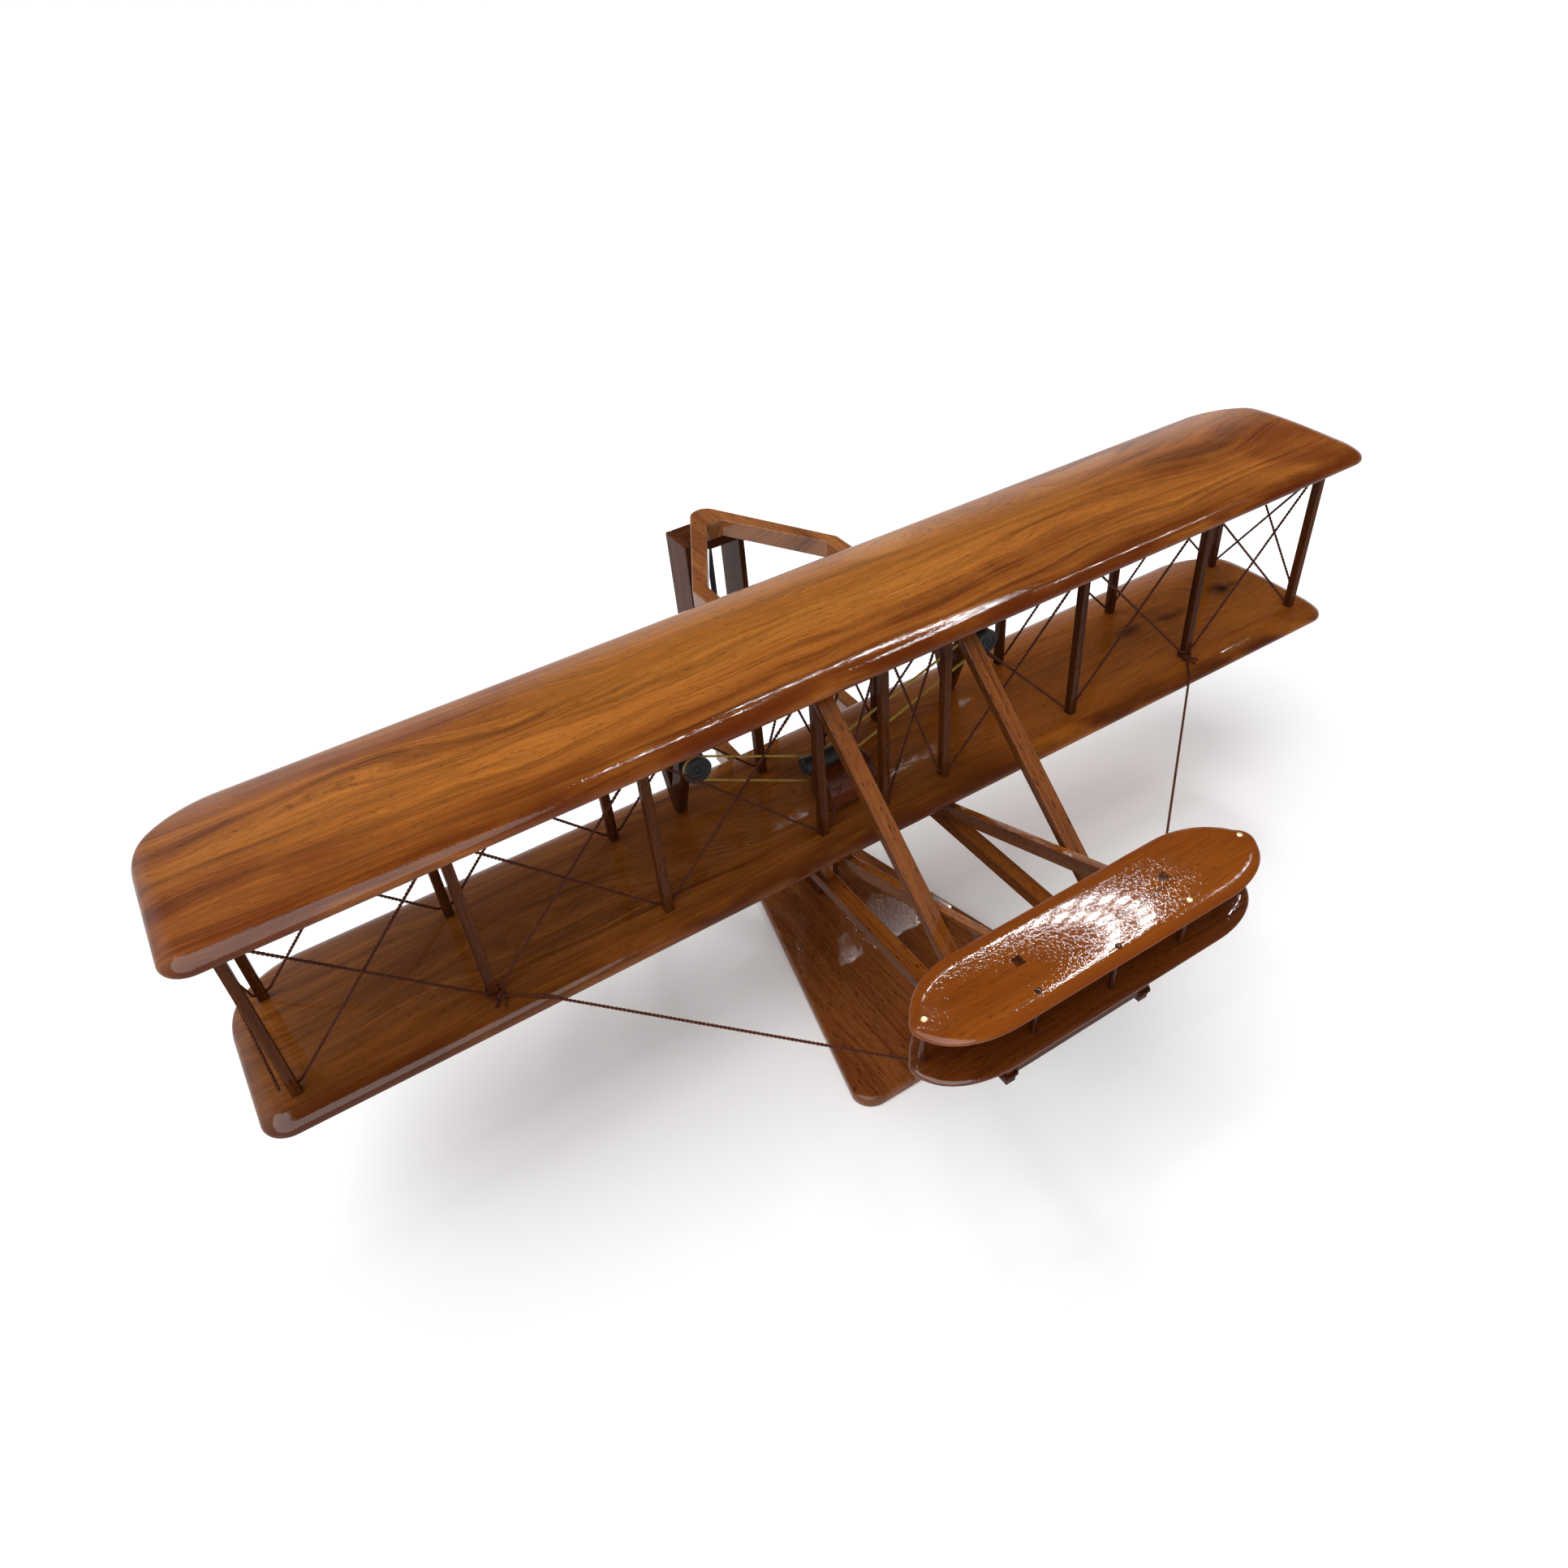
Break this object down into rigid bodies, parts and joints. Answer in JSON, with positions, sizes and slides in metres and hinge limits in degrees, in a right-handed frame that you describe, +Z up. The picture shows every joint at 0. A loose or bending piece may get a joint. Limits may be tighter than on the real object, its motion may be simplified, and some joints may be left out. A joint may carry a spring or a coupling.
{
  "type": "wooden biplane display model",
  "caption": "Varnished wooden display model of an early canard biplane with twin pusher propellers, thread rigging and a pivoting rudder, on a stand and base board.",
  "frame": {"origin": "centre line of the model on the flat underside of the base board, midway between the front and rear strut rows", "axes": "+X to the model's port side, -Y towards the nose and elevator, +Z up"},
  "size_m": [0.508, 0.2778, 0.1784],
  "materials": {
    "wing_wood": "figured mahogany under a thick gloss varnish",
    "strut_wood": "dark stained wood, gloss varnish",
    "bar_wood": "straight-grained mahogany, gloss varnish",
    "base_wood": "reddish mahogany, gloss varnish",
    "dark_wood": "dark end-grain wood, satin varnish",
    "propeller_wood": "carved wood, gloss varnish",
    "thread": "twisted waxed thread, dark brown",
    "chain_cord": "flat yellow cord",
    "black": "matte black",
    "brass": "polished brass pin"
  },
  "bodies": {
    "airframe": {"base_board": "base_wood", "display_stand": "dark_wood", "lower_wing": "wing_wood", "upper_wing": "wing_wood", "front_strut_1": "strut_wood", "front_strut_2": "strut_wood", "front_strut_3": "strut_wood", "front_strut_4": "strut_wood", "front_strut_5": "strut_wood", "front_strut_6": "strut_wood", "front_strut_7": "strut_wood", "front_strut_8": "strut_wood", "front_strut_9": "strut_wood", "rear_strut_1": "strut_wood", "rear_strut_2": "strut_wood", "rear_strut_3": "strut_wood", "rear_strut_4": "strut_wood", "rear_strut_5": "strut_wood", "rear_strut_6": "strut_wood", "rear_strut_7": "strut_wood", "rear_strut_8": "strut_wood", "rear_strut_9": "strut_wood", "rigging_lace_1": "thread", "rigging_lace_2": "thread", "starboard_forward_stay": "thread", "port_forward_stay": "thread", "starboard_skid": "bar_wood", "starboard_upper_boom": "bar_wood", "starboard_middle_boom": "bar_wood", "starboard_elevator_post": "dark_wood", "port_skid": "bar_wood", "port_upper_boom": "bar_wood", "port_middle_boom": "bar_wood", "port_elevator_post": "dark_wood", "elevator_crossbar": "dark_wood", "elevator_upper_plane": "bar_wood", "elevator_lower_plane": "bar_wood", "elevator_rod_starboard_tip": "brass", "elevator_rod_starboard_front": "brass", "elevator_rod_centre_front": "brass", "elevator_rod_port_front": "brass", "elevator_rod_port_tip": "brass", "upper_tail_frame": "bar_wood", "lower_tail_frame": "bar_wood", "rudder_pin": "black", "engine_block": "dark_wood", "engine_cylinder": "black", "starboard_shaft_bracket": "strut_wood", "starboard_chain": "chain_cord", "port_shaft_bracket": "strut_wood", "port_chain": "chain_cord"},
    "starboard_rotor": {"starboard_shaft_drum": "black", "starboard_propeller": "propeller_wood"},
    "port_rotor": {"port_shaft_drum": "black", "port_propeller": "propeller_wood"},
    "crank": {"crank_pulley": "black"},
    "rudder": {"starboard_rudder_blade": "dark_wood", "port_rudder_blade": "dark_wood", "rudder_top_plate": "dark_wood", "rudder_bottom_plate": "dark_wood"}
  },
  "joints": [
    {"name": "starboard_propeller_spin", "type": "hinge", "parent": "airframe", "child": "starboard_rotor", "pos_m": [-0.0697, 0.052, 0.1345], "axis": [0, 1, 0], "continuous": true},
    {"name": "port_propeller_spin", "type": "hinge", "parent": "airframe", "child": "port_rotor", "pos_m": [0.0697, 0.052, 0.1345], "axis": [0, 1, 0], "continuous": true},
    {"name": "crank_pulley_spin", "type": "hinge", "parent": "airframe", "child": "crank", "pos_m": [-0.014, 0.002, 0.106], "axis": [0, 1, 0], "continuous": true},
    {"name": "rudder_pivot", "type": "hinge", "parent": "airframe", "child": "rudder", "pos_m": [0, 0.11, 0.127], "axis": [0, 0, 1], "range_deg": [-25, 25]}
  ],
  "couplings": [
    {"joint": "port_propeller_spin", "follows": "starboard_propeller_spin", "ratio": 1},
    {"joint": "crank_pulley_spin", "follows": "starboard_propeller_spin", "ratio": 0.85}
  ]
}
